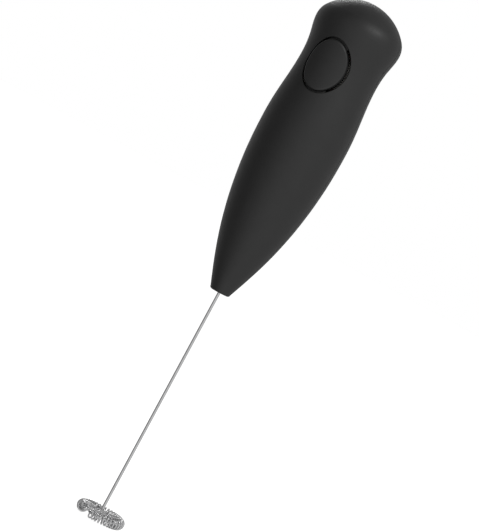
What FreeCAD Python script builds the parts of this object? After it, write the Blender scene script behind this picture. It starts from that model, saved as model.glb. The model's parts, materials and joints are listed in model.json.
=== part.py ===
"""Battery milk frother: waisted handle, oval button, wire shaft and coil-ring whisk.

Millimetres. The origin is the centre of the handle's nose face, where the whisk shaft
comes out. +Z runs up the shaft into the handle, and the button faces -Y.
Each node is one physical piece and is written to parts/NAME.step.
"""
import math
import os

import FreeCAD
import Part

V = FreeCAD.Vector

# Handle, outside: the cells set the waist, and the belly and head stand out from it
NOSE_RADIUS = 4.4            # where the nose's rounded corner meets the cone
NOSE_CORNER = 1.1            # rounding round the nose face
NOSE_SLOPE = 0.4             # outward lean of the cone where it leaves the nose
CONE_ROOM = 0.7              # between the motor's lower end and the wall
SHOULDER_DRAW = 1.75         # how far the shoulder, level with the motor's top, is inside the belly
FLANK_DRAW = 0.68            # and the flank, level with the cells' lower end
BELLY_SWELL = 1.82           # how far the belly stands out past the waist
BELLY_ABOVE_FLOOR = 17.6     # belly above the floor of the cell bay
WAIST_ENTRY = (0.549, 0.572) # share of the draw, and of the climb, from the belly to the waist
WAIST_EXIT = (0.35, 0.547)   # share of the flare, and of the climb, from the waist to the head
WAIST_BELOW_BUTTON = 0.2     # narrow place under the thumb
HEAD_FLARE = 1.96            # how far the head stands out past the waist
HEAD_ABOVE_CELLS = 7.35      # head's widest place above the ceiling of the cell bay
DOME_HEIGHT = 13.2           # head's widest place to the top
DOME_EDGE = 8.6              # rounding between the head's side and its crown
WALL = 1.5
SEAM_WIDTH = 0.24            # fine groove where the two half shells meet
SEAM_DEPTH = 0.25

# Two size AA cells side by side
CELL_RADIUS = 7.1
CELL_BODY = 49.3
CELL_NUB = 1.0
CELL_NUB_RADIUS = 2.75
CELL_EDGE = 0.4              # rounding of the jacket's ends
CELL_GAP = 0.3               # between the two cells
CELL_ROOM = 0.28             # between a cell and the wall at the waist
PLATE = 0.4                  # contact plates
PLATE_REACH = 3.75           # from a cell's axis to the side edge of its plate
PLATE_HALF = 6.0             # half depth of the upper plates, front to rear
BRIDGE_HALF = 5.0
TAB_HALF = 0.6               # half width of the solder tabs on the plates
TAB_ROOT = -5.0
TAB_PROUD = 1.1              # positive tab in front of the carrier
TAB_INSIDE = 3.1             # positive tab beside its cell's axis
SPRING_LENGTH = 1.85         # contact spring with the cell in
SPRING_WIRE = 0.3
SPRING_RADIUS = 4.0
SPRING_TAPER = 2.2
SPRING_TURNS = 3
BULKHEAD = 2.4

# Oval button in the front
BUTTON_BELOW_CELLS_END = 9.45  # button's middle below the ceiling of the cell bay
BUTTON_HEIGHT = 20.8
BUTTON_WIDTH = 15.75
BUTTON_GAP = 0.9
BUTTON_PROUD = 0.9
BUTTON_ROUND = 0.8           # rounding of the button's rim
BUTTON_THICK = 2.8           # face of the button, at its middle
BUTTON_RIM = 1.4             # wall of the button's skirt
BUTTON_TRAVEL = 1.0
SKIRT_ABOVE_LEAF = 1.4       # inner end of the skirt, ahead of the leaf
STEM_RADIUS = 1.2
RIM_ROUND = 0.3              # rounding of the opening's rim
OPENING_SHORT = 0.5          # the opening ends this far ahead of the switch carrier
RIM_SEARCH = 0.5             # the rim's edges lie at most this far inside the waist's radius
RIM_MATCH = 0.01             # and this near the oval, as a share of its size
KEEPER_REACH = 1.95          # how far the button's two keepers pass the ends of its oval
KEEPER_HALF = 4.5
KEEPER_PLAY = 0.5
KEEPER_FIT = 0.1             # keepers to the inside of the wall
KEEPER_THICK = 1.0

# Battery door in the rear
DOOR_BELOW_FLOOR = 14.2      # the door covers the screws below and above the cells
DOOR_ABOVE_CELLS = 6.35
DOOR_INSIDE_BELLY = 3.55     # door's straight side edges, inside the belly's side
DOOR_FRONT = 2.5             # the door's edges come no further forward than this
DOOR_GAP = 0.15
DOOR_FIT = 0.05              # between the door's inner face and its ledges
DOOR_RIDGES = 5              # finger grip near the top of the door
RIDGE_PITCH = 1.9
RIDGE_HEIGHT = 0.35
RIDGE_WIDTH = 0.8
RIDGE_HALF = 5.5
RIDGES_BELOW_EDGE = 5.0
LEDGE = 1.4                  # thickness of the ledges under the door's ends
LEDGE_SHOWS = 1.5            # how far a ledge passes the end of the door
ARM_INSIDE_EDGE = 2.3        # snap arms, from the door's ends
ARM_HALF = 3.0
ARM_THICK = 1.2
ARM_CLEAR = 0.58             # arms' ends to the motor
ARM_PLAY = 0.1
ARM_ROOT = 0.9               # how far the arms run into the door
LAP = 0.2                    # inner walls run this far into the outer wall

# Switch behind the button: a leaf that turns about its rolled root
CARRIER = 1.2                # thickness of the switch carrier
CARRIER_BELOW_ROOT = 2.6
LEAF_AHEAD = 2.9             # leaf in front of the carrier
LEAF_BELOW_BUTTON = 12.8     # root of the leaf below the button's middle
CONTACT_ABOVE_BUTTON = 2.6   # rivet above the button's middle
LEAF_THICK = 0.3
LEAF_HALF = 2.0
LEAF_TIP = 1.4               # leaf past the rivet's middle
LEAF_ROLL = 0.5              # radius of the leaf's rolled root
ROLL_PLAY = 0.05
STEM_PLAY = 0.05             # stem to leaf at rest
LEAF_LEAD = 0.03             # how far the leaf keeps ahead of the stem at full travel
RIVET_RADIUS = 1.2
STOP_PLAY = 0.05             # leaf to rivet with the button fully in
PAD = 0.4                    # thickness of the fixed contact's plate
PAD_LEFT = -5.0
PAD_RIGHT = 3.0
PAD_DROP = 9.0               # the plate below and above the rivet's middle
PAD_RISE = 2.0
CLIP_SIDE = 0.6              # clip past the leaf's sides
CLIP_FRONT = 1.0             # clip ahead of the leaf
CLIP_BELOW = 1.4
CLIP_ABOVE = 0.9
CLIP_ROOM = 0.27             # slot behind the leaf, for its bend

# Motor: flat-sided can, brushes in the end cap
MOTOR_BASE = 24.0
MOTOR_RADIUS = 10.05
MOTOR_FLAT = 7.55
MOTOR_CAN = 19.5
MOTOR_WALL = 0.8
MOTOR_CAP = 1.5              # flange of the end cap
MOTOR_PLUG = 1.8             # end cap's plug inside the can
MOTOR_TAIL = 6.8             # can's top to the bulkhead under the cells
CAP_BOSS = 4.0               # height of the end cap's bearing boss
BOSS_WALL = 0.9
NOSE_BOSS = 1.5              # bearing boss below the can
BUSH_LOW_RADIUS = 2.4
BUSH_HIGH_RADIUS = 2.2
MOTOR_SHAFT = 1.0
BEARING_PLAY = 0.03
ROTOR_ROOM = 0.55            # rotor to the can's flat sides
ROTOR_AIR = 0.25             # rotor to the magnets
ROTOR_ABOVE_BASE = 3.5
ROTOR_BELOW_TOP = 7.0
POLES = 3
POLE_HALF = 1.0              # half width of a pole's arm
SHOE_SKIN = 0.9              # thickness of the pole shoes
SHOE_ANGLE = 48.0            # each shoe, to both sides of its pole
HUB_RADIUS = 2.1
WINDING_HALF = 2.5
SHAFT_ROOM = 0.8             # the windings' blocks start this far from the axis, so that they join
WINDING_IN = 1.1             # windings inside the rotor's outside
WINDING_RISE = 1.4           # windings past each end of the core
COMMUTATOR_RADIUS = 2.2
COMMUTATOR_CORE = 1.7
COMMUTATOR_SLOT = 0.3
COMMUTATOR_BELOW_TOP = 1.9
BRUSH = 0.35                 # thickness of the brush arms
BRUSH_PLAY = 0.05            # brush to commutator
BRUSH_HALF = 1.2
TERMINAL_INSIDE_FLAT = 2.25  # terminals, inside the can's flat sides
TERMINAL = 0.4
TERMINAL_RISE = 4.7
BRUSH_REACH = 5.0            # brush arms below the can's top
BRUSH_BORE = 3.4             # hole in the end cap's plug
MAGNET_INSIDE_FLAT = 1.95
MAGNET_UP = 2.0
MAGNET_DOWN = 4.0
SHAFT_SHORT = 0.6            # shaft's end below the end cap's boss
SEAT = 1.8                   # thickness of the motor's seat in the shells
SEAT_BORE = 4.5
RIB = 2.0                    # thickness of the cradle's ribs
RIB_UP = 6.0
RIB_DOWN = 1.5
RETAINER_LAP = 0.65          # top rib over the end cap's edge

# Coupling, nose bush and whisk
WIRE_RADIUS = 0.6
BUSH_PLAY = 0.06
BUSH_RADIUS = 2.2
BUSH_HEAD_RADIUS = 3.0
BUSH_SHOULDER = 5.6          # level of the bush's shoulder
BUSH_HEAD = 1.0
NOSE_SOLID = 6.0             # the nose is solid up to this level
COUPLING_RADIUS = 2.6
COUPLING_ABOVE_BUSH = 0.9
COUPLING_SOCKET = 6.0        # depth of the wire in the coupling
COUPLING_BELOW_MOTOR = 2.0   # coupling's top to the motor's boss
WHISK_DROP = 98.2            # nose face to the plane of the ring
RING_RADIUS = 8.0
RING_OFFSET = 0.40           # ring's centre beside the shaft
RING_OFFSET_BEARING = 110.0
RING_SIDES = 24              # bends round the ring
SPOKE_BEND = 1.5
WRAP_PLAY = 0.15             # between the shaft and the end wrapped round it
# The wire's end round the shaft: along and across the spoke and up, all in wire gaps
WRAP = ((1.5, 1.0, 1.0), (-1.0, 1.0, 1.1), (-1.0, -1.0, 1.35), (0.7, -1.0, 1.5))
COIL_RADIUS = 1.97
COIL_WIRE = 0.33
COIL_TURNS = 35
COIL_SIDES = 8               # bends to one turn of the coil
RING_START = -34.0           # bearing of the spoke that leaves the shaft, degrees
RING_END = -374.0            # bearing where the ring turns back to the shaft
COIL_MARGIN = 8.0            # bare wire between each spoke and the coil, degrees

# Four screws and three leads
SCREW_SHANK = 1.1
SCREW_HEAD = 1.8
SCREW_HEAD_HEIGHT = 1.5
SCREW_PLAY = 0.1
SCREW_SEAT = 4.5             # under the heads, in Y
SCREW_TIP = -6.0
SLOT_HALF = 0.25             # half width of the cross recess
SLOT_REACH = 1.2
SLOT_DEPTH = 0.7
BOSS_RADIUS = 2.9
BOSS_FRONT = -8.5
LOWER_SCREW_OUT = 2.75       # screws outside the cells' axes
UPPER_SCREW_OUT = 1.75
UPPER_BOSS_SINK = 2.05       # the upper bosses start this far down in their bulkhead
LEAD_RADIUS = 0.5
LEAD_PLAY = 0.25
LEAD_BEND = 2.0
LEAD_AHEAD_OF_CELLS = 1.9
LEAD_TOUCH = 0.05            # lead to the carrier's front
LEAD_END_UP = 4.1            # leads' ends above the can's top
NEGATIVE_BEHIND = 1.0        # upper part of the negative lead, behind the others
LEAD_CROSS_TOP = 3.0         # leads start to cross this far under the carrier
LEAD_CROSS_END = 13.3        # and end this far above the cell bay's floor

# Sizes and levels that follow from the ones above
CELL_X = CELL_RADIUS + CELL_GAP / 2
WAIST_RADIUS = CELL_X + CELL_RADIUS + CELL_ROOM + WALL
BELLY_RADIUS = WAIST_RADIUS + BELLY_SWELL
HEAD_RADIUS = WAIST_RADIUS + HEAD_FLARE
MOTOR_TOP = MOTOR_BASE + MOTOR_CAN
CELL_FLOOR = MOTOR_TOP + MOTOR_TAIL + BULKHEAD
PLATE_TOP = CELL_FLOOR + PLATE
CELL_END = PLATE_TOP + SPRING_LENGTH + CELL_BODY + CELL_NUB
CELL_CEILING = CELL_END + PLATE
BELLY_Z = CELL_FLOOR + BELLY_ABOVE_FLOOR
BUTTON_Z = CELL_CEILING - BUTTON_BELOW_CELLS_END
WAIST_Z = BUTTON_Z - WAIST_BELOW_BUTTON
HEAD_Z = CELL_CEILING + HEAD_ABOVE_CELLS
DOOR_BOTTOM = CELL_FLOOR - DOOR_BELOW_FLOOR
DOOR_TOP = CELL_CEILING + DOOR_ABOVE_CELLS
DOOR_HALF_WIDTH = BELLY_RADIUS - DOOR_INSIDE_BELLY
CARRIER_FRONT = -CELL_RADIUS - CARRIER
LEAF_Y = CARRIER_FRONT - LEAF_AHEAD
LEAF_ROOT = BUTTON_Z - LEAF_BELOW_BUTTON
LEAF_CONTACT = BUTTON_Z + CONTACT_ABOVE_BUTTON
BUTTON_FOOT = LEAF_Y - SKIRT_ABOVE_LEAF
BUTTON_HOLLOW = BUTTON_THICK - WAIST_RADIUS - BUTTON_PROUD
OPENING_BACK = CARRIER_FRONT - OPENING_SHORT
ARM_END = MOTOR_RADIUS + ARM_CLEAR
LOWER_SCREW = (CELL_X + LOWER_SCREW_OUT, CELL_FLOOR - BOSS_RADIUS)
UPPER_SCREW = (CELL_X + UPPER_SCREW_OUT, CELL_CEILING + BULKHEAD - UPPER_BOSS_SINK + BOSS_RADIUS)
ROTOR_RADIUS = MOTOR_FLAT - MOTOR_WALL - ROTOR_ROOM
ROTOR_BASE = MOTOR_BASE + ROTOR_ABOVE_BASE
ROTOR_TOP = MOTOR_TOP - ROTOR_BELOW_TOP
SHOE_HALF = ROTOR_RADIUS * math.sin(math.radians(SHOE_ANGLE))
TERMINAL_X = MOTOR_FLAT - TERMINAL_INSIDE_FLAT
BUSH_TOP = BUSH_SHOULDER + BUSH_HEAD
COUPLING_BOTTOM = BUSH_TOP + COUPLING_ABOVE_BUSH
COUPLING_STEP = COUPLING_BOTTOM + COUPLING_SOCKET
COUPLING_TOP = MOTOR_BASE - NOSE_BOSS - COUPLING_BELOW_MOTOR
LEAD_Y = -CELL_RADIUS - LEAD_AHEAD_OF_CELLS
NEGATIVE_X = -CELL_X - PLATE_REACH
POSITIVE_X = CELL_X - TAB_INSIDE
REACH = 300.0                # longer than anything in the handle


def box(x0, x1, y0, y1, z0, z1):
    return Part.makeBox(x1 - x0, y1 - y0, z1 - z0, V(x0, y0, z0))


def rod(radius, z0, z1, x=0.0, y=0.0):
    return Part.makeCylinder(radius, z1 - z0, V(x, y, z0))


def rod_y(radius, y0, y1, x, z):
    return Part.makeCylinder(radius, y1 - y0, V(x, y0, z), V(0, 1, 0))


def rod_x(radius, x0, x1, y, z):
    return Part.makeCylinder(radius, x1 - x0, V(x0, y, z), V(1, 0, 0))


def merged(first, *others):
    return first.fuse(list(others)).removeSplitter()


def bearing(degrees):
    """Horizontal direction: 0 is the front, 90 the right-hand side seen from the front."""
    a = math.radians(degrees)
    return V(math.sin(a), -math.cos(a), 0)


def lower_stations():
    """Nose, cone at the motor's lower end, shoulder at its top, flank at the cells' floor, belly."""
    return [(NOSE_RADIUS, NOSE_CORNER), (MOTOR_RADIUS + CONE_ROOM + WALL, MOTOR_BASE),
            (BELLY_RADIUS - SHOULDER_DRAW, MOTOR_TOP), (BELLY_RADIUS - FLANK_DRAW, CELL_FLOOR),
            (BELLY_RADIUS, BELLY_Z)]


def upper_stations():
    """Belly in to the waist and out again to the head."""
    climb, lift = WAIST_Z - BELLY_Z, HEAD_Z - WAIST_Z
    entry = (BELLY_RADIUS - WAIST_ENTRY[0] * BELLY_SWELL, BELLY_Z + WAIST_ENTRY[1] * climb)
    leave = (WAIST_RADIUS + WAIST_EXIT[0] * HEAD_FLARE, WAIST_Z + WAIST_EXIT[1] * lift)
    return [(BELLY_RADIUS, BELLY_Z), entry, (WAIST_RADIUS, WAIST_Z), leave, (HEAD_RADIUS, HEAD_Z)]


def half_outline(inset):
    """Upright half section of the handle, drawn in from its surface by the inset."""
    low = Part.BSplineCurve()
    low.interpolate(Points=[V(r - inset, 0, z) for r, z in lower_stations()],
                    InitialTangent=V(NOSE_SLOPE, 0, 1), FinalTangent=V(0, 0, 1))
    high = Part.BSplineCurve()
    high.interpolate(Points=[V(r - inset, 0, z) for r, z in upper_stations()],
                     InitialTangent=V(0, 0, 1), FinalTangent=V(0, 0, 1))
    edge, height, head = DOME_EDGE - inset, DOME_HEIGHT - inset, HEAD_RADIUS - inset
    crown = ((head - edge) ** 2 + height ** 2 - edge ** 2) / (2 * (height - edge))
    tilt = math.atan2(head - edge, crown - height)
    knee = V(crown * math.sin(tilt), 0, HEAD_Z + height - crown + crown * math.cos(tilt))
    half = (math.pi / 2 + tilt) / 2
    bend = V(head - edge + edge * math.sin(half), 0, HEAD_Z + edge * math.cos(half))
    top = V(0, 0, HEAD_Z + height)
    brow = V(crown * math.sin(tilt / 2), 0, HEAD_Z + height - crown + crown * math.cos(tilt / 2))
    edges = [low.toShape(), high.toShape(), Part.Arc(V(head, 0, HEAD_Z), bend, knee).toShape(),
             Part.Arc(knee, brow, top).toShape()]
    foot = V(NOSE_RADIUS - inset, 0, NOSE_CORNER)
    if inset == 0:
        face = V(NOSE_RADIUS - NOSE_CORNER, 0, 0)
        slant = NOSE_CORNER * math.sin(math.pi / 4)
        corner = V(face.x + slant, 0, NOSE_CORNER - slant)
        edges += [Part.Arc(face, corner, foot).toShape(), Part.LineSegment(V(0, 0, 0), face).toShape()]
        edges += [Part.LineSegment(top, V(0, 0, 0)).toShape()]
    else:
        base = V(0, 0, NOSE_CORNER)
        edges += [Part.LineSegment(base, foot).toShape(), Part.LineSegment(top, base).toShape()]
    return Part.Face(Part.Wire(Part.__sortEdges__(edges)))


def skin(inset):
    """Solid of revolution that lies inside the handle's surface by the inset."""
    return half_outline(inset).revolve(V(0, 0, 0), V(0, 0, 1), 360)


def seam_groove():
    """Flat ring that follows the outline where the half shells meet."""
    core = half_outline(SEAM_DEPTH)
    core.translate(V(0, -SEAM_WIDTH / 2, 0))
    plate = box(-REACH, REACH, -SEAM_WIDTH / 2, SEAM_WIDTH / 2, NOSE_CORNER, REACH)
    return plate.cut(merged(*both_sides(core.extrude(V(0, SEAM_WIDTH, 0)))))


def oval(grow, y0, y1):
    """Upright elliptical prism along Y at the button, larger than its edge by grow."""
    ellipse = Part.Ellipse(V(0, y0, BUTTON_Z), BUTTON_HEIGHT / 2 + grow, BUTTON_WIDTH / 2 + grow)
    ellipse.Axis = V(0, 1, 0)
    ellipse.XAxis = V(0, 0, 1)
    return Part.Face(Part.Wire(ellipse.toShape())).extrude(V(0, y1 - y0, 0))


def rounded_path(points, radius):
    """Straight runs joined by tangent arcs of the radius, or less where a run is short."""
    edges, start = [], points[0]
    for before, corner, after in zip(points, points[1:], points[2:]):
        back, ahead = (before - corner), (after - corner)
        room = min(back.Length, ahead.Length) / 2
        back, ahead = back * (1 / back.Length), ahead * (1 / ahead.Length)
        turn = math.pi - back.getAngle(ahead)
        reach = min(radius * math.tan(turn / 2), room)
        bend = reach / math.tan(turn / 2)
        inward = back + ahead
        middle = corner + inward * ((bend / math.cos(turn / 2) - bend) / inward.Length)
        first, last = corner + back * reach, corner + ahead * reach
        if (first - start).Length > 1e-4:
            edges.append(Part.LineSegment(start, first).toShape())
        edges.append(Part.Arc(first, middle, last).toShape())
        start = last
    edges.append(Part.LineSegment(start, points[-1]).toShape())
    return Part.Wire(edges)


def wire_along(points, radius, bend):
    ring = Part.Wire(Part.makeCircle(radius, points[0], points[1] - points[0]))
    return rounded_path(points, bend).makePipeShell([ring], True, False)


def both_sides(shape):
    return [shape, shape.mirror(V(0, 0, 0), V(1, 0, 0))]


def handle_frame(core):
    """Bulkheads, motor cradle and screw bosses that both half shells share."""
    def slab(z0, thick):
        return core.common(box(-REACH, REACH, -REACH, REACH, z0, z0 + thick))

    can = motor_outline(MOTOR_RADIUS, MOTOR_FLAT, 0, REACH)
    mouth = motor_outline(MOTOR_RADIUS - RETAINER_LAP, MOTOR_FLAT - RETAINER_LAP, 0, REACH)
    pieces = [slab(CELL_FLOOR - BULKHEAD, BULKHEAD), slab(CELL_CEILING, BULKHEAD),
              slab(MOTOR_BASE - SEAT, SEAT).cut(rod(SEAT_BORE, 0, REACH)),
              slab(MOTOR_BASE + RIB_UP, RIB).cut(can),
              slab(MOTOR_TOP - RIB_DOWN - RIB, RIB).cut(can),
              slab(MOTOR_TOP + MOTOR_CAP, RIB).cut(mouth)]
    for x, z in (LOWER_SCREW, UPPER_SCREW):
        pieces += both_sides(rod_y(BOSS_RADIUS, BOSS_FRONT, REACH, x, z).common(core))
    return pieces


def screw_holes():
    cuts = []
    for x, z in (LOWER_SCREW, UPPER_SCREW):
        cuts += both_sides(rod_y(SCREW_SHANK, SCREW_TIP, SCREW_SEAT, x, z))
    return cuts + head_holes()


def head_holes():
    """Wells that the screws' heads go in through, from the rear."""
    cuts = []
    for x, z in (LOWER_SCREW, UPPER_SCREW):
        cuts += both_sides(rod_y(SCREW_HEAD + SCREW_PLAY, SCREW_SEAT, REACH, x, z))
    return cuts


def bush_outline(foot):
    """Shouldered plug in the nose, from the level of its foot."""
    return merged(rod(BUSH_RADIUS, foot, BUSH_SHOULDER), rod(BUSH_HEAD_RADIUS, BUSH_SHOULDER, BUSH_TOP))


def make_shells():
    outer, cavity, core = skin(0), skin(WALL), skin(WALL - LAP)
    cavity = cavity.cut(box(-REACH, REACH, -REACH, REACH, -1, NOSE_SOLID))
    hollow = outer.cut(cavity).cut(seam_groove())
    full = hollow.fuse(handle_frame(core)).cut(screw_holes() + [bush_outline(-1)])

    front = full.common(box(-REACH, REACH, -REACH, 0, -1, REACH))
    pocket = keeper_outline(KEEPER_PLAY, -REACH, OPENING_BACK).common(cavity)
    bore = LEAD_RADIUS + LEAD_PLAY
    leads = both_sides(rod(bore, MOTOR_TOP, CELL_FLOOR + 1, TERMINAL_X, LEAD_Y))
    front = rounded_rim(front.cut(oval(BUTTON_GAP, -REACH, OPENING_BACK)), BUTTON_GAP, RIM_ROUND)
    front = front.cut(pocket).cut(leads)

    rear = full.common(box(-REACH, REACH, 0, REACH, -1, REACH))
    lip = skin(WALL - LAP).cut(skin(WALL + LEDGE))
    behind = SEAM_WIDTH / 2 + LAP
    ledges = [lip.common(box(-REACH, REACH, behind, REACH, DOOR_BOTTOM - LEDGE_SHOWS, CELL_FLOOR)),
              lip.common(box(-REACH, REACH, behind, REACH, CELL_CEILING, DOOR_TOP + LEDGE_SHOWS))]
    window = box(-DOOR_HALF_WIDTH, DOOR_HALF_WIDTH, DOOR_FRONT, REACH, DOOR_BOTTOM, DOOR_TOP)
    rear = rear.fuse(ledges).cut([window.cut(skin(WALL))] + head_holes() + door_arms(ARM_PLAY, 1))
    return front, rear, cavity


def door_arms(play, deeper):
    """The two snap arms that pass through the ledges and hold the door on."""
    core, half, side = skin(WALL - ARM_ROOT), ARM_THICK / 2 + play, ARM_HALF + play
    arms = []
    for z in (DOOR_BOTTOM + ARM_INSIDE_EDGE, DOOR_TOP - ARM_INSIDE_EDGE):
        arms.append(box(-side, side, ARM_END - deeper, REACH, z - half, z + half).common(core))
    return arms


def make_door():
    side = DOOR_HALF_WIDTH - DOOR_GAP
    limit = box(-side, side, DOOR_FRONT + DOOR_GAP, REACH, DOOR_BOTTOM + DOOR_GAP, DOOR_TOP - DOOR_GAP)
    panel = skin(0).cut(skin(WALL - DOOR_FIT)).common(limit)
    band = skin(-RIDGE_HEIGHT).cut(skin(LAP))
    ridges = []
    for k in range(DOOR_RIDGES):
        z = DOOR_TOP - RIDGES_BELOW_EDGE - k * RIDGE_PITCH - RIDGE_WIDTH / 2
        ridges.append(band.common(box(-RIDGE_HALF, RIDGE_HALF, 0, REACH, z, z + RIDGE_WIDTH)))
    return panel.fuse(door_arms(0, 0) + ridges)


def rounded_rim(shape, grow, radius):
    """Fillet of the oval edge where the prism of that size meets the handle's surface."""
    rim = []
    for edge in shape.Edges:
        middle = edge.valueAt((edge.FirstParameter + edge.LastParameter) / 2)
        across = middle.x / (BUTTON_WIDTH / 2 + grow)
        along = (middle.z - BUTTON_Z) / (BUTTON_HEIGHT / 2 + grow)
        outside = math.hypot(middle.x, middle.y) > WAIST_RADIUS - RIM_SEARCH
        if outside and abs(math.hypot(across, along) - 1) < RIM_MATCH:
            rim.append(edge)
    return shape.makeFillet(radius, rim)


def keeper_outline(play, y0, y1):
    """Upright bar behind the wall, past both ends of the oval, that stops the button coming out."""
    half, rise = KEEPER_HALF + play, BUTTON_HEIGHT / 2 + KEEPER_REACH + play
    return box(-half, half, y0, y1, BUTTON_Z - rise, BUTTON_Z + rise)


def make_button():
    crown = rounded_rim(skin(-BUTTON_PROUD).common(oval(0, -REACH, BUTTON_FOOT)), 0, BUTTON_ROUND)
    cap = crown.cut(oval(-BUTTON_RIM, BUTTON_HOLLOW, 0))
    stem = rod_y(STEM_RADIUS, BUTTON_HOLLOW - 1, LEAF_Y - LEAF_THICK / 2 - STEM_PLAY, 0, BUTTON_Z)
    layer = skin(WALL + KEEPER_FIT).cut(skin(WALL + KEEPER_FIT + KEEPER_THICK))
    keepers = layer.common(keeper_outline(0, -REACH, 0)).cut(oval(-BUTTON_RIM, -REACH, 0))
    return cap.fuse([stem, keepers])


def motor_outline(radius, flat, z0, z1):
    return rod(radius, z0, z1).common(box(-flat, flat, -radius, radius, z0, z1))


def leaf_angle():
    """Turn of the leaf, in radians, that keeps it ahead of the button's stem."""
    return (BUTTON_TRAVEL + LEAF_LEAD) / (BUTTON_Z - STEM_RADIUS - LEAF_ROOT)


def make_switch(cavity):
    lift = (LEAF_CONTACT + RIVET_RADIUS - LEAF_ROOT) * math.tan(leaf_angle())
    stop = LEAF_Y + LEAF_THICK / 2 + lift + STOP_PLAY
    face = CARRIER_FRONT - PAD
    carrier = box(-REACH, REACH, CARRIER_FRONT, -CELL_RADIUS, LEAF_ROOT - CARRIER_BELOW_ROOT, CELL_END)
    notch = box(-REACH, NEGATIVE_X + LEAD_RADIUS + LEAD_PLAY, -REACH, 0, 0, REACH)
    carrier = carrier.common(cavity).cut(notch)
    foot, head = LEAF_CONTACT - PAD_DROP, LEAF_CONTACT + PAD_RISE
    pad = box(PAD_LEFT, PAD_RIGHT, face, CARRIER_FRONT, foot, head)
    rivet = rod_y(RIVET_RADIUS, stop, face, 0, LEAF_CONTACT)
    half = LEAF_THICK / 2
    leaf = box(-LEAF_HALF, LEAF_HALF, LEAF_Y - half, LEAF_Y + half, LEAF_ROOT, LEAF_CONTACT + LEAF_TIP)
    leaf = merged(leaf, rod_x(LEAF_ROLL, -LEAF_HALF, LEAF_HALF, LEAF_Y, LEAF_ROOT))
    side, bay = LEAF_HALF + CLIP_SIDE, LEAF_HALF + ROLL_PLAY
    low, high = LEAF_ROOT - CLIP_BELOW, LEAF_ROOT + CLIP_ABOVE
    clip = box(-side, side, LEAF_Y - CLIP_FRONT, CARRIER_FRONT, low, high)
    slot = box(-bay, bay, LEAF_Y - half - ROLL_PLAY, LEAF_Y + half + CLIP_ROOM, LEAF_ROOT, LEAF_ROOT + 2)
    clip = clip.cut([rod_x(LEAF_ROLL + ROLL_PLAY, -bay, bay, LEAF_Y, LEAF_ROOT), slot])
    return carrier, merged(pad, rivet), leaf, clip


def make_cell(x, upright):
    base = PLATE_TOP + (SPRING_LENGTH if upright else CELL_NUB)
    body = rod(CELL_RADIUS, base, base + CELL_BODY, x)
    edges = [e for e in body.Edges if abs(e.Length - 2 * math.pi * CELL_RADIUS) < 0.01]
    body = body.makeFillet(CELL_EDGE, edges)
    nub = base + CELL_BODY if upright else base - CELL_NUB
    return merged(body, rod(CELL_NUB_RADIUS, nub, nub + CELL_NUB, x))


def make_spring(x, z0, z1):
    """Cone squeezed nearly flat between a plate and a cell."""
    low, high = z0 + SPRING_WIRE, z1 - SPRING_WIRE
    steps = SPRING_TURNS * COIL_SIDES
    points = []
    for step in range(steps + 1):
        share = step / steps
        radius = SPRING_RADIUS - SPRING_TAPER * share
        a = 2 * math.pi * share * SPRING_TURNS
        points.append(V(x + radius * math.cos(a), radius * math.sin(a), low + (high - low) * share))
    return wire_along(points, SPRING_WIRE, SPRING_RADIUS)


def make_motor():
    """Can with its magnets and bushes, and the end cap with its brushes and terminals."""
    inner_radius, inner_flat = MOTOR_RADIUS - MOTOR_WALL, MOTOR_FLAT - MOTOR_WALL
    can = motor_outline(MOTOR_RADIUS, MOTOR_FLAT, MOTOR_BASE, MOTOR_TOP)
    inner = motor_outline(inner_radius, inner_flat, MOTOR_BASE + MOTOR_WALL, REACH)
    boss = rod(BUSH_LOW_RADIUS + BOSS_WALL, MOTOR_BASE - NOSE_BOSS, MOTOR_BASE + MOTOR_WALL)
    can = can.cut(inner).fuse(boss).cut(rod(BUSH_LOW_RADIUS, 0, REACH))
    bore = rod(MOTOR_SHAFT + BEARING_PLAY, 0, REACH)
    front_bush = rod(BUSH_LOW_RADIUS, MOTOR_BASE - NOSE_BOSS, MOTOR_BASE + NOSE_BOSS).cut(bore)
    rear_bush = rod(BUSH_HIGH_RADIUS, MOTOR_TOP, MOTOR_TOP + CAP_BOSS).cut(bore)
    arcs = rod(inner_radius, MOTOR_BASE + MAGNET_UP, MOTOR_TOP - MAGNET_DOWN)
    arcs = arcs.cut(rod(ROTOR_RADIUS + ROTOR_AIR, 0, REACH))
    side = MOTOR_FLAT - MAGNET_INSIDE_FLAT
    flange = motor_outline(MOTOR_RADIUS, MOTOR_FLAT, MOTOR_TOP, MOTOR_TOP + MOTOR_CAP)
    plug = motor_outline(inner_radius, inner_flat, MOTOR_TOP - MOTOR_PLUG, MOTOR_TOP)
    plug = plug.cut(rod(BRUSH_BORE, 0, REACH))
    cap = merged(flange, plug, rod(BUSH_HIGH_RADIUS + BOSS_WALL, MOTOR_TOP, MOTOR_TOP + CAP_BOSS))
    cap = cap.cut(rod(BUSH_HIGH_RADIUS, MOTOR_TOP, REACH))
    inside, outside = COMMUTATOR_RADIUS + BRUSH_PLAY, TERMINAL_X + TERMINAL / 2
    arm = box(inside, inside + BRUSH, -BRUSH_HALF, BRUSH_HALF, MOTOR_TOP - BRUSH_REACH, MOTOR_TOP)
    foot = box(inside, outside, -BRUSH_HALF, BRUSH_HALF, MOTOR_TOP - TERMINAL, MOTOR_TOP)
    brushes = both_sides(merged(arm, foot))
    blade = box(outside - TERMINAL, outside, -BRUSH_HALF, BRUSH_HALF, MOTOR_TOP, MOTOR_TOP + TERMINAL_RISE)
    terminals = both_sides(blade)
    return {"motor_can": can, "motor_front_bush": front_bush, "motor_rear_bush": rear_bush,
            "motor_magnet_front": arcs.common(box(-side, side, -REACH, 0, 0, REACH)),
            "motor_magnet_rear": arcs.common(box(-side, side, 0, REACH, 0, REACH)),
            "motor_end_cap": cap.cut(brushes + terminals),
            "brush_right": brushes[0], "brush_left": brushes[1],
            "terminal_right": terminals[0], "terminal_left": terminals[1]}


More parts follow.
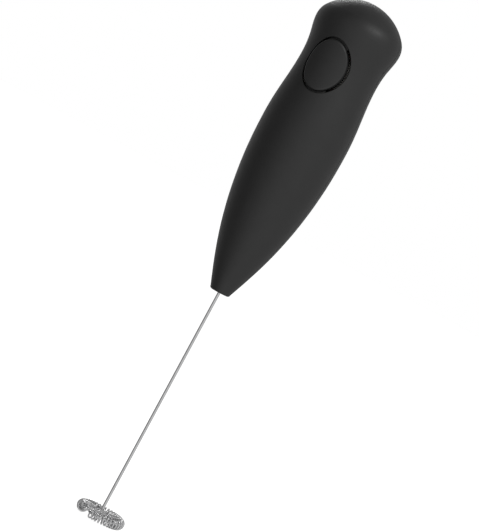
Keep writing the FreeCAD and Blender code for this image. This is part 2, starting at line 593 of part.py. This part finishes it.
def make_rotor():
    """Armature on its shaft, with its windings and commutator."""
    rim = rod(ROTOR_RADIUS, ROTOR_BASE, ROTOR_TOP).cut(rod(ROTOR_RADIUS - SHOE_SKIN, ROTOR_BASE, ROTOR_TOP))
    arm = box(0, ROTOR_RADIUS - SHOE_SKIN / 2, -POLE_HALF, POLE_HALF, ROTOR_BASE, ROTOR_TOP)
    shoe = rim.common(box(0, REACH, -SHOE_HALF, SHOE_HALF, 0, REACH))
    coil = box(SHAFT_ROOM, ROTOR_RADIUS - WINDING_IN, -WINDING_HALF, WINDING_HALF,
               ROTOR_BASE - WINDING_RISE, ROTOR_TOP + WINDING_RISE)
    half = COMMUTATOR_SLOT / 2
    slot = box(-REACH, 0, -half, half, 0, REACH)
    arms, coils, slots = [rod(HUB_RADIUS, ROTOR_BASE, ROTOR_TOP)], [], []
    for pole in range(POLES):
        turn = 90 + 360 / POLES * pole
        for shape, group in ((arm, arms), (shoe, arms), (coil, coils), (slot, slots)):
            group.append(shape.rotated(V(0, 0, 0), V(0, 0, 1), turn))
    core, hole = merged(*arms), rod(MOTOR_SHAFT, 0, REACH)
    windings = merged(*coils).common(rod(ROTOR_RADIUS - SHOE_SKIN, 0, REACH))
    windings = windings.cut(core).cut(rod(HUB_RADIUS, 0, REACH))
    end = MOTOR_TOP - COMMUTATOR_BELOW_TOP
    segments = rod(COMMUTATOR_RADIUS, ROTOR_TOP + WINDING_RISE, end).cut(slots)
    commutator = segments.fuse(rod(COMMUTATOR_CORE, ROTOR_TOP, end))
    return {"motor_shaft": rod(MOTOR_SHAFT, COUPLING_STEP, MOTOR_TOP + CAP_BOSS - SHAFT_SHORT),
            "rotor_core": core.cut(hole), "rotor_windings": windings, "commutator": commutator.cut(hole)}


def ring_centre():
    return bearing(RING_OFFSET_BEARING) * RING_OFFSET + V(0, 0, -WHISK_DROP)


def make_whisk():
    """One wire: shaft, spoke out to the ring, the ring, and its end back in and round the shaft."""
    centre = ring_centre()
    step = (RING_END - RING_START) / RING_SIDES
    outside = RING_RADIUS / math.cos(math.radians(abs(step) / 2))
    points = [V(0, 0, COUPLING_STEP), V(0, 0, -WHISK_DROP), centre + bearing(RING_START) * RING_RADIUS]
    points += [centre + bearing(RING_START + (k + 0.5) * step) * outside for k in range(RING_SIDES)]
    points.append(centre + bearing(RING_END) * RING_RADIUS)
    out, across = bearing(RING_END), bearing(RING_END + 90)
    gap = 2 * WIRE_RADIUS + WRAP_PLAY
    for along, over, lift in WRAP:
        points.append(out * (along * gap) + across * (over * gap) + V(0, 0, lift * gap - WHISK_DROP))
    return wire_along(points, WIRE_RADIUS, SPOKE_BEND)


def make_coil():
    centre = ring_centre()
    first, last = RING_START - COIL_MARGIN, RING_END + COIL_MARGIN
    steps = COIL_TURNS * COIL_SIDES
    outside = COIL_RADIUS / math.cos(math.pi / COIL_SIDES)
    seat = WIRE_RADIUS + COIL_WIRE
    points = []
    for k in range(steps + 1):
        a = 2 * math.pi * k / COIL_SIDES
        lift = seat if k in (0, steps) else outside
        out = bearing(first + (last - first) * k / steps)
        points.append(centre + out * (RING_RADIUS + lift * math.cos(a)) + V(0, 0, lift * math.sin(a)))
    return wire_along(points, COIL_WIRE, COIL_RADIUS)


def make_screw(x, z):
    top = SCREW_SEAT + SCREW_HEAD_HEIGHT
    body = merged(rod_y(SCREW_HEAD, SCREW_SEAT, top, x, z), rod_y(SCREW_SHANK, SCREW_TIP, SCREW_SEAT, x, z))
    low = top - SLOT_DEPTH
    cross = [box(x - SLOT_REACH, x + SLOT_REACH, low, top + 1, z - SLOT_HALF, z + SLOT_HALF),
             box(x - SLOT_HALF, x + SLOT_HALF, low, top + 1, z - SLOT_REACH, z + SLOT_REACH)]
    return body.cut(cross)


def make_leads():
    """Switch to motor, negative plate to motor, and positive plate to the leaf's clip."""
    y = CARRIER_FRONT - LEAD_RADIUS - LEAD_TOUCH
    high = LEAF_ROOT - CARRIER_BELOW_ROOT - LEAD_CROSS_TOP
    low, down = CELL_FLOOR + LEAD_CROSS_END, MOTOR_TOP + LEAD_END_UP
    pad_x, aside = PAD_LEFT + TAB_HALF + LEAD_PLAY, LEAD_Y + NEGATIVE_BEHIND
    clip_z = LEAF_ROOT - LEAF_ROLL
    drop = [V(TERMINAL_X, LEAD_Y, down), V(TERMINAL_X, -BRUSH_HALF, down)]
    switch = [V(pad_x, y, LEAF_CONTACT - PAD_DROP), V(pad_x, y, high), V(TERMINAL_X, LEAD_Y, low)] + drop
    negative = [V(NEGATIVE_X, aside, CELL_END), V(NEGATIVE_X, aside, high - 1)]
    negative.append(V(-TERMINAL_X, LEAD_Y, low - 2))
    negative += [V(-point.x, point.y, point.z) for point in drop]
    positive = [V(POSITIVE_X, y, CELL_END), V(POSITIVE_X, y, clip_z), V(LEAF_HALF + CLIP_SIDE, y, clip_z)]
    return [wire_along(points, LEAD_RADIUS, LEAD_BEND) for points in (switch, negative, positive)]


def make_plates():
    """Bridge under the cells, and the two plates with solder tabs above them."""
    inside, outside = CELL_X - PLATE_REACH, CELL_X + PLATE_REACH
    bridge = box(-outside, outside, -BRIDGE_HALF, BRIDGE_HALF, CELL_FLOOR, PLATE_TOP)
    negative = box(-outside, -inside, -PLATE_HALF, PLATE_HALF, CELL_END, CELL_CEILING)
    tab = box(NEGATIVE_X - TAB_HALF, NEGATIVE_X + TAB_HALF, LEAD_Y, TAB_ROOT, CELL_END, CELL_CEILING)
    negative = merged(negative, tab)
    positive = box(inside, outside, -PLATE_HALF, PLATE_HALF, CELL_END, CELL_CEILING)
    tab = box(POSITIVE_X - TAB_HALF, POSITIVE_X + TAB_HALF, CARRIER_FRONT - TAB_PROUD, TAB_ROOT,
              CELL_END, CELL_CEILING)
    return bridge, negative, merged(positive, tab)


def build():
    front, rear, cavity = make_shells()
    nodes = {"front_shell": front, "rear_shell": rear, "battery_door": make_door(), "button": make_button()}
    carrier, contact, leaf, clip = make_switch(cavity)
    nodes.update({"switch_carrier": carrier, "switch_contact": contact})
    nodes.update({"switch_leaf": leaf, "switch_clip": clip})
    nodes.update({"cell_left": make_cell(-CELL_X, False), "cell_right": make_cell(CELL_X, True)})
    bridge, negative, positive = make_plates()
    nodes.update({"contact_bridge": bridge, "contact_negative": negative, "contact_positive": positive})
    nodes["bridge_spring"] = make_spring(CELL_X, PLATE_TOP, PLATE_TOP + SPRING_LENGTH)
    nodes["negative_spring"] = make_spring(-CELL_X, CELL_END - SPRING_LENGTH, CELL_END)
    nodes.update(make_motor())
    nodes.update(make_rotor())
    sleeve = rod(COUPLING_RADIUS, COUPLING_BOTTOM, COUPLING_TOP).cut(rod(WIRE_RADIUS, 0, COUPLING_STEP))
    nodes["coupling_sleeve"] = sleeve.cut(rod(MOTOR_SHAFT, COUPLING_STEP, REACH))
    nodes["nose_bush"] = bush_outline(NOSE_CORNER).cut(rod(WIRE_RADIUS + BUSH_PLAY, 0, REACH))
    nodes["whisk_wire"] = make_whisk()
    nodes["whisk_coil"] = make_coil()
    for label, (x, z) in (("lower", LOWER_SCREW), ("upper", UPPER_SCREW)):
        nodes["screw_" + label + "_left"] = make_screw(-x, z)
        nodes["screw_" + label + "_right"] = make_screw(x, z)
    for label, lead in zip(("switch", "negative", "positive"), make_leads()):
        nodes["lead_" + label] = lead
    return nodes


os.makedirs("parts", exist_ok=True)
for name, shape in build().items():
    shape.exportStep("parts/" + name + ".step")
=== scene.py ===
import json
import math

import bmesh
import bpy
from mathutils import Matrix, Vector


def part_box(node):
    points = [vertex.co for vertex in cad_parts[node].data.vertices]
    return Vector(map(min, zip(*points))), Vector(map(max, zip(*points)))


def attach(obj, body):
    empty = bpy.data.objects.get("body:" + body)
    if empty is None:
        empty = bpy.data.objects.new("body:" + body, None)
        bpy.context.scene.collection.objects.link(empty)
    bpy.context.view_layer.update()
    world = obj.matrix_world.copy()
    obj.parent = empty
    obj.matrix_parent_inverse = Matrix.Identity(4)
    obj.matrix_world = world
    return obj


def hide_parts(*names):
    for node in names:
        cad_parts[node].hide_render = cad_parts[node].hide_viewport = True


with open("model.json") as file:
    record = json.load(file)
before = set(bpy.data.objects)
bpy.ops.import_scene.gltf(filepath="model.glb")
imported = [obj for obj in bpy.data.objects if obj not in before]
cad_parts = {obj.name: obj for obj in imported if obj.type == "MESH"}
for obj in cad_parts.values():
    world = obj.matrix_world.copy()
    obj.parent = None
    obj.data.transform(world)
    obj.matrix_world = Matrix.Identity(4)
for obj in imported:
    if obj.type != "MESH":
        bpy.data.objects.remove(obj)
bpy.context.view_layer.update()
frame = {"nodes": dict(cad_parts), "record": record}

MM = 0.001
NODES = frame["nodes"]
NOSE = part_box("front_shell")[0].z
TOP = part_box("front_shell")[1].z
WHISK_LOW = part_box("whisk_coil")[0].z

# Where the camera looks from: bearing round the handle, rise above level, lean of the object in the view
VIEW_BEARING = math.radians(20.0)
VIEW_RISE = math.radians(2.5)
VIEW_LEAN = math.radians(28.36)
VIEW_DISTANCE = 0.900
FOCAL_LENGTH = 157.0
SENSOR_WIDTH = 36.0
CLIP_NEAR = 0.05
CLIP_FAR = 30.0
AIM_ABOVE_NOSE = 12.8 * MM
AIM_RIGHT = 2.05 * MM

# Light panels: bearing from the camera's side, rise, width, height, power
PANEL_DISTANCE = 0.55
PANELS = {
    "key": (math.radians(42), math.radians(48), 0.20, 0.10, 0.60),
    "rim": (math.radians(-165), math.radians(35), 0.20, 0.08, 0.35),
}

# Brightness of the studio round the object: bearing from the camera's side in degrees, then strength
STUDIO = ((-180, 0.62), (-145, 0.60), (-110, 0.16), (-75, 0.08), (-45, 0.26), (-10, 0.66), (30, 0.70),
          (70, 0.56), (110, 0.40), (150, 0.50), (180, 0.62))
STUDIO_OVERHEAD = 0.55       # share of that brightness that comes from straight above
OVERHEAD_RISE = (0.2, 0.9)   # sines of the heights between which it fades

FLOOR_RADIUS = 6.0
FLOOR_STEPS = 96
FLOOR_BELOW_WHISK = 0.4 * MM
FLOOR_GREY = 0.85
FLOOR_ROUGHNESS = 0.9
FLOOR_SHINE = 0.1
FLOOR_GLOW = 0.8


def grey(value):
    return (value, value, value, 1.0)


def add_to_scene(thing):
    bpy.context.scene.collection.objects.link(thing)


def carry_range(nodes, source, target=(0.0, 1.0)):
    """Node that carries one range of values onto another."""
    node = nodes.new("ShaderNodeMapRange")
    node.inputs["From Min"].default_value, node.inputs["From Max"].default_value = source
    node.inputs["To Min"].default_value, node.inputs["To Max"].default_value = target
    return node


# ---------------------------------------------------------------- camera, light and floor

def facing(bearing, rise=0.0):
    """Unit vector from the object towards a viewer at that bearing (0 is the front) and rise."""
    level = math.cos(rise)
    return Vector((math.sin(bearing) * level, -math.cos(bearing) * level, math.sin(rise)))


def make_camera():
    towards = facing(VIEW_BEARING, VIEW_RISE)
    right = Vector((math.cos(VIEW_BEARING), math.sin(VIEW_BEARING), 0.0))
    up = towards.cross(right)
    lean_right = right * math.cos(VIEW_LEAN) + up * math.sin(VIEW_LEAN)
    lean_up = towards.cross(lean_right)
    aim = Vector((0.0, 0.0, NOSE + AIM_ABOVE_NOSE)) + right * AIM_RIGHT
    camera = bpy.data.objects.new("camera", bpy.data.cameras.new("camera"))
    camera.data.lens = FOCAL_LENGTH
    camera.data.sensor_width = SENSOR_WIDTH
    camera.data.clip_start = CLIP_NEAR
    camera.data.clip_end = CLIP_FAR
    turn = Matrix((lean_right, lean_up, towards)).transposed().to_4x4()
    camera.matrix_world = Matrix.Translation(aim + towards * VIEW_DISTANCE) @ turn
    add_to_scene(camera)
    bpy.context.scene.camera = camera


def make_panel(name, bearing, rise, width, height, power):
    """Soft rectangular light, pointed at the middle of the handle."""
    light = bpy.data.lights.new(name, "AREA")
    light.shape = "RECTANGLE"
    light.size = width
    light.size_y = height
    light.energy = power
    lamp = bpy.data.objects.new(name, light)
    towards = facing(VIEW_BEARING + bearing, rise)
    lamp.location = Vector((0.0, 0.0, (NOSE + TOP) / 2)) + towards * PANEL_DISTANCE
    lamp.rotation_mode = "QUATERNION"
    lamp.rotation_quaternion = towards.to_track_quat("Z", "Y")
    lamp.visible_camera = False
    add_to_scene(lamp)


def make_world():
    """White to look at; as a light its strength goes by the bearing round the object."""
    world = bpy.data.worlds.new("studio")
    world.use_nodes = True
    nodes, links = world.node_tree.nodes, world.node_tree.links
    nodes.clear()
    out = nodes.new("ShaderNodeOutputWorld")
    pick = nodes.new("ShaderNodeMixShader")
    rays = nodes.new("ShaderNodeLightPath")
    seen = nodes.new("ShaderNodeBackground")
    seen.inputs["Color"].default_value = grey(1.0)
    fill = nodes.new("ShaderNodeBackground")
    place = nodes.new("ShaderNodeTexCoord")
    turned = nodes.new("ShaderNodeVectorRotate")
    turned.rotation_type = "Z_AXIS"
    turned.inputs["Angle"].default_value = -VIEW_BEARING
    parts = nodes.new("ShaderNodeSeparateXYZ")
    back = nodes.new("ShaderNodeMath")
    back.operation = "MULTIPLY"
    back.inputs[1].default_value = -1.0
    angle = nodes.new("ShaderNodeMath")
    angle.operation = "ARCTAN2"
    share = carry_range(nodes, (-math.pi, math.pi))
    overhead = carry_range(nodes, OVERHEAD_RISE, (1.0, STUDIO_OVERHEAD))
    ramp = nodes.new("ShaderNodeValToRGB")
    ramp.color_ramp.interpolation = "B_SPLINE"
    stops = ramp.color_ramp.elements
    while len(stops) < len(STUDIO):
        stops.new(0.5)
    for stop, (bearing, strength) in zip(stops, STUDIO):
        stop.position = (bearing + 180) / 360
        stop.color = grey(strength)
    links.new(place.outputs["Generated"], turned.inputs["Vector"])
    links.new(turned.outputs["Vector"], parts.inputs["Vector"])
    links.new(parts.outputs["Y"], back.inputs[0])
    links.new(parts.outputs["X"], angle.inputs[0])
    links.new(back.outputs[0], angle.inputs[1])
    links.new(angle.outputs[0], share.inputs["Value"])
    links.new(share.outputs["Result"], ramp.inputs["Fac"])
    links.new(ramp.outputs["Color"], fill.inputs["Color"])
    links.new(parts.outputs["Z"], overhead.inputs["Value"])
    links.new(overhead.outputs["Result"], fill.inputs["Strength"])
    links.new(rays.outputs["Is Camera Ray"], pick.inputs["Fac"])
    links.new(fill.outputs[0], pick.inputs[1])
    links.new(seen.outputs[0], pick.inputs[2])
    links.new(pick.outputs[0], out.inputs["Surface"])
    bpy.context.scene.world = world


def make_floor():
    """Large pale disc just under the whisk, kept out of reflections and bounced light."""
    mesh = bpy.data.meshes.new("floor")
    shape = bmesh.new()
    bmesh.ops.create_circle(shape, cap_ends=True, segments=FLOOR_STEPS, radius=FLOOR_RADIUS)
    shape.to_mesh(mesh)
    shape.free()
    floor = bpy.data.objects.new("floor", mesh)
    floor.location.z = WHISK_LOW - FLOOR_BELOW_WHISK
    paint = bpy.data.materials.new("floor_paint")
    paint.use_nodes = True
    shader = paint.node_tree.nodes["Principled BSDF"]
    shader.inputs["Base Color"].default_value = grey(FLOOR_GREY)
    shader.inputs["Roughness"].default_value = FLOOR_ROUGHNESS
    shader.inputs["Specular IOR Level"].default_value = FLOOR_SHINE
    shader.inputs["Emission Color"].default_value = grey(1.0)
    shader.inputs["Emission Strength"].default_value = FLOOR_GLOW
    mesh.materials.append(paint)
    floor.visible_glossy = False
    floor.visible_diffuse = False
    add_to_scene(floor)


bpy.context.scene.view_settings.view_transform = "Standard"
make_camera()
make_world()
for name, setting in PANELS.items():
    make_panel(name, *setting)
make_floor()


# ---------------------------------------------------------------- materials

COLOUR_SPAN = (0.35, 0.65)   # noise values between which a finish goes from one colour to the other
ROUGH_SPAN = (0.3, 0.7)      # and from its smoothest to its roughest
FINISH_IOR = 1.5
WAVE_PERIOD = 0.314          # distance between the wave texture's bands at scale 1
WAVE_WANDER = 0.4
RING_DEPTH = 2.0             # depth of the turned rings, as a multiple of the grain's


def finish(name, colour, other, roughness, uneven, metallic=0.0, patch=4.0 * MM, grain=0.25 * MM,
           depth=0.01 * MM, rings=0.0, coat=0.0):
    """Procedural finish: two close colours in patches, wandering roughness, fine grain and turned rings."""
    material = bpy.data.materials.new(name)
    material.use_nodes = True
    nodes, links = material.node_tree.nodes, material.node_tree.links
    shader = nodes["Principled BSDF"]
    shader.inputs["Metallic"].default_value = metallic
    shader.inputs["IOR"].default_value = FINISH_IOR
    shader.inputs["Coat Weight"].default_value = coat
    place = nodes.new("ShaderNodeTexCoord")

    def noise(size, detail):
        texture = nodes.new("ShaderNodeTexNoise")
        texture.inputs["Scale"].default_value = 1.0 / size
        texture.inputs["Detail"].default_value = detail
        links.new(place.outputs["Object"], texture.inputs["Vector"])
        return texture.outputs["Fac"]

    ramp = nodes.new("ShaderNodeValToRGB")
    for stop, position, shade in zip(ramp.color_ramp.elements, COLOUR_SPAN, (colour, other)):
        stop.position = position
        stop.color = (*shade, 1.0)
    links.new(noise(patch, detail=4.0), ramp.inputs["Fac"])
    links.new(ramp.outputs["Color"], shader.inputs["Base Color"])
    spread = carry_range(nodes, ROUGH_SPAN, (roughness - uneven, roughness + uneven))
    links.new(noise(patch / 2, detail=3.0), spread.inputs["Value"])
    links.new(spread.outputs["Result"], shader.inputs["Roughness"])
    bump = nodes.new("ShaderNodeBump")
    bump.inputs["Distance"].default_value = depth
    links.new(noise(grain, detail=2.0), bump.inputs["Height"])
    if rings:
        wave = nodes.new("ShaderNodeTexWave")
        wave.bands_direction = "Z"
        wave.inputs["Scale"].default_value = WAVE_PERIOD / rings
        wave.inputs["Distortion"].default_value = WAVE_WANDER
        turned = nodes.new("ShaderNodeBump")
        turned.inputs["Distance"].default_value = depth * RING_DEPTH
        links.new(place.outputs["Object"], wave.inputs["Vector"])
        links.new(wave.outputs["Fac"], turned.inputs["Height"])
        links.new(turned.outputs["Normal"], bump.inputs["Normal"])
    links.new(bump.outputs["Normal"], shader.inputs["Normal"])
    return material


# Each finish: two colours, roughness and how far it wanders, share of metal; then what isn't usual
FINISHES = {
    "housing_plastic": ((0.0255,) * 3, (0.0275,) * 3, 0.50, 0.03, 0.0,
                        {"grain": 0.35 * MM, "depth": 0.018 * MM}),
    "button_plastic": ((0.025,) * 3, (0.027,) * 3, 0.47, 0.03, 0.0,
                       {"grain": 0.3 * MM, "depth": 0.012 * MM}),
    "inner_plastic": ((0.62, 0.61, 0.57), (0.58, 0.57, 0.53), 0.42, 0.05, 0.0, {}),
    "coupling_nylon": ((0.78, 0.77, 0.71), (0.74, 0.73, 0.67), 0.36, 0.05, 0.0, {"rings": 0.4 * MM}),
    "contact_nickel": ((0.68, 0.65, 0.60), (0.60, 0.57, 0.52), 0.26, 0.06, 1.0,
                       {"grain": 0.6 * MM, "depth": 0.004 * MM}),
    "brass": ((0.78, 0.58, 0.27), (0.70, 0.50, 0.22), 0.28, 0.07, 1.0, {"depth": 0.004 * MM}),
    "bronze": ((0.46, 0.29, 0.14), (0.30, 0.19, 0.10), 0.45, 0.08, 1.0,
               {"patch": 0.5 * MM, "depth": 0.03 * MM}),
    "motor_steel": ((0.62, 0.63, 0.64), (0.52, 0.53, 0.55), 0.30, 0.08, 1.0,
                    {"patch": 2.0 * MM, "depth": 0.006 * MM}),
    "shaft_steel": ((0.66, 0.66, 0.67), (0.58, 0.58, 0.59), 0.22, 0.05, 1.0,
                    {"rings": 0.12 * MM, "depth": 0.003 * MM}),
    "screw_steel": ((0.060, 0.060, 0.062), (0.085, 0.082, 0.080), 0.38, 0.07, 0.8, {"patch": 1.0 * MM}),
    "magnet": ((0.055, 0.052, 0.050), (0.085, 0.080, 0.075), 0.62, 0.08, 0.0,
               {"patch": 0.8 * MM, "depth": 0.03 * MM}),
    "copper": ((0.60, 0.23, 0.09), (0.48, 0.17, 0.06), 0.30, 0.06, 0.9,
               {"rings": 0.28 * MM, "depth": 0.03 * MM, "coat": 0.5}),
    "stainless_wire": ((0.80, 0.80, 0.805), (0.72, 0.72, 0.725), 0.12, 0.04, 1.0,
                       {"patch": 1.5 * MM, "grain": 0.4 * MM, "depth": 0.003 * MM}),
    "cell_jacket": ((0.035, 0.105, 0.26), (0.030, 0.092, 0.23), 0.30, 0.04, 0.35,
                    {"patch": 8.0 * MM, "depth": 0.004 * MM, "coat": 0.6}),
    "lead_red": ((0.22, 0.012, 0.010), (0.19, 0.010, 0.008), 0.36, 0.05, 0.0, {}),
    "lead_black": ((0.020,) * 3, (0.028,) * 3, 0.38, 0.05, 0.0, {}),
    "lead_white": ((0.72, 0.72, 0.70), (0.66, 0.66, 0.64), 0.38, 0.05, 0.0, {}),
    "cell_steel": ((0.70, 0.70, 0.70), (0.60, 0.60, 0.61), 0.24, 0.06, 1.0,
                   {"rings": 0.3 * MM, "depth": 0.004 * MM}),
    "cell_washer": ((0.72, 0.72, 0.70), (0.62, 0.62, 0.60), 0.55, 0.05, 0.0, {"patch": 1.0 * MM}),
    "cell_print": ((0.80, 0.80, 0.79), (0.74, 0.74, 0.73), 0.35, 0.04, 0.0, {"coat": 0.4}),
}
MATERIALS = {name: finish(name, *usual, **special) for name, (*usual, special) in FINISHES.items()}

for entry in frame["record"]["subparts"]:
    coats = NODES[entry["node"]].data.materials
    coats.clear()
    coats.append(MATERIALS[entry["material_slot"]])


# ---------------------------------------------------------------- the two cells, in detail

CELL_COATS = ("cell_jacket", "cell_steel", "cell_washer", "cell_print")
JACKET, STEEL, WASHER, PRINT = range(4)
CELL_STEPS = 96              # facets round a cell
CELL_SHARP = math.radians(35)
CELL_EDGE = 0.4 * MM         # rounding of the jacket's ends
EDGE_STEPS = 6
CELL_LIP = 1.0 * MM          # jacket's lip over each end
LIP_THICK = 0.1 * MM
CELL_BAND = (6.0 * MM, 9.5 * MM)     # pale ring round the jacket, below the positive end's edge
DISH_RADIUS = 2.2 * MM       # flat middle of the negative end
DISH_SLOPE = 0.4 * MM
DISH_DEPTH = 0.25 * MM
END_SUNK = 0.05 * MM         # steel ends below the jacket's
CRIMP_DEPTH = 0.3 * MM       # groove beside the lip of the negative end
CRIMP = (1.5 * MM, 1.3 * MM, 1.1 * MM)   # its sides and the lip's edge, inside the jacket
WASHER_DEPTH = 0.25 * MM
COLLAR_RADIUS = 3.2 * MM     # raised steel round the nub
COLLAR_SLOPE = 0.1 * MM
CELL_NUB = 1.0 * MM
NUB_RADIUS = 2.75 * MM
NUB_ROUND = 0.3 * MM
NUB_STEPS = 4
MARK_ARM = 1.5 * MM          # half length of the arms of the plus and minus marks
MARK_LINE = 0.35 * MM        # half width of those arms
MARK_SPLIT = (MARK_ARM - MARK_LINE) / 2  # half length of each arm beside the plus mark's bar
MARK_INSET = 14.0 * MM       # plus mark from the positive end, and twice the minus mark's inset
MARK_PROUD = 0.02 * MM
MARK_STEPS = 8


def quarter_round(middle, height, bend, start, steps, index):
    """Quarter turn of a profile, from a starting angle: rows of radius, height and material."""
    angles = [start + math.pi / 2 * step / steps for step in range(steps + 1)]
    return [(middle + bend * math.cos(a), height + bend * math.sin(a), index) for a in angles]


def cell_profile(radius, length):
    """Half section from the negative end's middle to the positive end's: radius, height, material."""
    top = length - CELL_NUB
    lip, edge = radius - CELL_LIP, radius - CELL_EDGE
    outer, inner, mouth = [radius - inside for inside in CRIMP]
    rows = [(0.0, DISH_DEPTH, STEEL), (DISH_RADIUS, DISH_DEPTH, STEEL),
            (DISH_RADIUS + DISH_SLOPE, END_SUNK, STEEL), (outer, END_SUNK, STEEL),
            (inner, CRIMP_DEPTH, STEEL), (mouth, CRIMP_DEPTH, JACKET), (lip, 0.0, JACKET)]
    rows += quarter_round(edge, CELL_EDGE, CELL_EDGE, -math.pi / 2, EDGE_STEPS, JACKET)
    rows += [(radius, top - CELL_BAND[1], PRINT), (radius, top - CELL_BAND[0], JACKET)]
    rows += quarter_round(edge, top - CELL_EDGE, CELL_EDGE, 0.0, EDGE_STEPS, JACKET)
    rows += [(lip, top, JACKET), (lip - LIP_THICK, top - WASHER_DEPTH, WASHER),
             (COLLAR_RADIUS + COLLAR_SLOPE, top - WASHER_DEPTH, STEEL),
             (COLLAR_RADIUS, top - END_SUNK, STEEL), (NUB_RADIUS, top, STEEL)]
    rows += quarter_round(NUB_RADIUS - NUB_ROUND, length - NUB_ROUND, NUB_ROUND, 0.0, NUB_STEPS, STEEL)
    return rows + [(0.0, length, STEEL)]


def turned_shape(shape, rows):
    """Revolve the profile about Z; each row's material covers the surface up to the next row."""
    rings = []
    for radius, height, _ in rows:
        if radius == 0.0:
            rings.append([shape.verts.new((0.0, 0.0, height))])
            continue
        turns = [2 * math.pi * k / CELL_STEPS for k in range(CELL_STEPS)]
        rings.append([shape.verts.new((radius * math.cos(a), radius * math.sin(a), height)) for a in turns])
    for (below, above), (_, _, index) in zip(zip(rings, rings[1:]), rows):
        for k in range(CELL_STEPS):
            after = (k + 1) % CELL_STEPS
            corners = [below[k % len(below)], below[after % len(below)], above[after % len(above)],
                       above[k % len(above)]]
            shape.faces.new(list(dict.fromkeys(corners))).material_index = index


def printed_bar(shape, radius, height, half_wide, half_high):
    """Thin printed bar wrapped round the jacket, in the middle of the side that faces the door."""
    middle, wide = math.pi / 2, half_wide / radius
    columns = []
    for k in range(MARK_STEPS + 1):
        a = middle - wide + 2 * wide * k / MARK_STEPS
        side = [(radius + lift, z) for lift, z in ((MARK_PROUD, -half_high), (MARK_PROUD, half_high),
                                                   (-MARK_PROUD, half_high), (-MARK_PROUD, -half_high))]
        columns.append([shape.verts.new((r * math.cos(a), r * math.sin(a), height + z)) for r, z in side])
    for left, right in zip(columns, columns[1:]):
        for k in range(4):
            quad = (left[k], right[k], right[(k + 1) % 4], left[(k + 1) % 4])
            shape.faces.new(quad).material_index = PRINT
    shape.faces.new(columns[0]).material_index = PRINT
    shape.faces.new(list(reversed(columns[-1]))).material_index = PRINT


def make_cell(node, nub_up):
    """Size AA cell in its printed jacket, with a rolled edge, crimped ends and raised contact."""
    low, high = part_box(node)
    radius, length = (high.x - low.x) / 2, high.z - low.z
    shape = bmesh.new()
    turned_shape(shape, cell_profile(radius, length))
    plus = length - MARK_INSET
    printed_bar(shape, radius, plus, MARK_ARM, MARK_LINE)
    for side in (MARK_LINE + MARK_SPLIT, -MARK_LINE - MARK_SPLIT):
        printed_bar(shape, radius, plus + side, MARK_LINE, MARK_SPLIT)
    printed_bar(shape, radius, MARK_INSET / 2, MARK_ARM, MARK_LINE)
    if not nub_up:
        bmesh.ops.rotate(shape, verts=shape.verts, matrix=Matrix.Rotation(math.pi, 3, "Y"))
    base = low.z if nub_up else high.z
    bmesh.ops.translate(shape, verts=shape.verts, vec=((low.x + high.x) / 2, (low.y + high.y) / 2, base))
    bmesh.ops.recalc_face_normals(shape, faces=shape.faces)
    mesh = bpy.data.meshes.new(node + "_detailed")
    shape.to_mesh(mesh)
    shape.free()
    for coat in CELL_COATS:
        mesh.materials.append(MATERIALS[coat])
    mesh.shade_smooth()
    mesh.set_sharp_from_angle(angle=CELL_SHARP)
    cell = bpy.data.objects.new(node + "_detailed", mesh)
    add_to_scene(cell)
    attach(cell, "housing")
    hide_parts(node)


make_cell("cell_left", False)
make_cell("cell_right", True)
